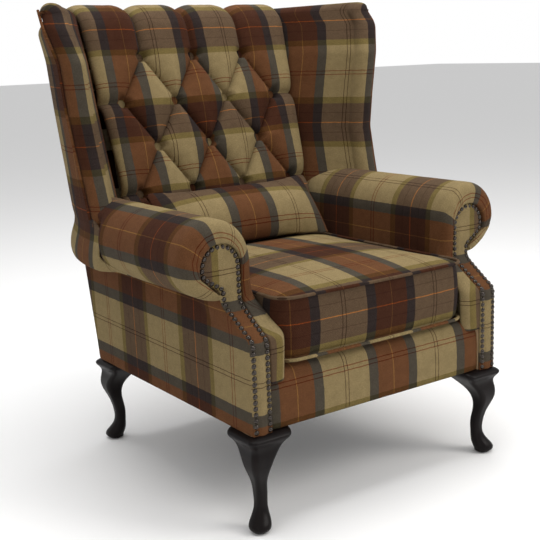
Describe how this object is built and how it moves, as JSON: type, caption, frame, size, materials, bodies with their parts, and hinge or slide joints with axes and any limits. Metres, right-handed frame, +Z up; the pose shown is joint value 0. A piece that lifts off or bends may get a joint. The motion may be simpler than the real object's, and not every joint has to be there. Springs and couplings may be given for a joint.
{
  "type": "wing armchair",
  "caption": "High-backed fireside wing chair in woven check wool with deep-buttoned back, rolled nailed arms, loose seat and lumbar cushions and dark cabriole legs.",
  "frame": {"origin": "on the floor, in the middle of the chair's footprint box", "axes": "+X the sitter's left, -Y the front, +Z up"},
  "size_m": [0.9042, 0.8628, 1.026],
  "materials": {
    "check_cloth": "brushed woven wool check in tan, rust, slate and olive",
    "piping_cloth": "the same check cloth cut on the bias over cord",
    "leg_wood": "near-black mahogany stain, satin",
    "frame_wood": "planed beech, unfinished",
    "nail_metal": "dark antique patina, domed",
    "steel": "plain spring and bolt steel",
    "glide": "moulded, matt",
    "lining": "black woven lining",
    "webbing": "woven jute strap",
    "zip_tape": "brown woven tape with a moulded coil",
    "zip_metal": "plain cast slider"
  },
  "bodies": {
    "chair": {"front_left_leg": "leg_wood", "front_right_leg": "leg_wood", "rear_left_leg": "leg_wood", "rear_right_leg": "leg_wood", "leg_bolts": "steel", "foot_glides": "glide", "front_rail": "frame_wood", "back_rail": "frame_wood", "corner_blocks": "frame_wood", "top_back_rail": "frame_wood", "lower_back_rail": "frame_wood", "seat_springs": "steel", "spring_clips": "steel", "seat_deck": "lining", "dust_cover": "lining", "back_webbing": "webbing", "front_border": "check_cloth", "inside_back": "check_cloth", "back_buttons": "check_cloth", "outside_back": "check_cloth", "left_side_rail": "frame_wood", "right_side_rail": "frame_wood", "left_rear_post": "frame_wood", "right_rear_post": "frame_wood", "left_front_post": "frame_wood", "right_front_post": "frame_wood", "left_arm_rail": "frame_wood", "right_arm_rail": "frame_wood", "left_wing_frame": "frame_wood", "right_wing_frame": "frame_wood", "left_outside_arm": "check_cloth", "right_outside_arm": "check_cloth", "left_arm_facing": "check_cloth", "right_arm_facing": "check_cloth", "left_arm_pad": "check_cloth", "right_arm_pad": "check_cloth", "left_wing_pad": "check_cloth", "right_wing_pad": "check_cloth", "left_outside_wing": "check_cloth", "right_outside_wing": "check_cloth", "left_wing_piping": "piping_cloth", "right_wing_piping": "piping_cloth", "left_facing_nails": "nail_metal", "right_facing_nails": "nail_metal"},
    "loose_seat": {"seat_cushion": "check_cloth", "cushion_piping": "piping_cloth", "cushion_zip": "zip_tape"},
    "slider": {"zip_slider": "zip_metal"},
    "loose_lumbar": {"lumbar_cushion": "check_cloth"}
  },
  "joints": [
    {"name": "seat_cushion_lift", "type": "slide", "parent": "chair", "child": "loose_seat", "axis": [0, 0, 1], "range_m": [0, 0.3]},
    {"name": "lumbar_cushion_lift", "type": "slide", "parent": "loose_seat", "child": "loose_lumbar", "axis": [0, 0, 1], "range_m": [0, 0.25]},
    {"name": "zip_slide", "type": "slide", "parent": "loose_seat", "child": "slider", "axis": [1, 0, 0], "range_m": [0, 0.4]}
  ]
}
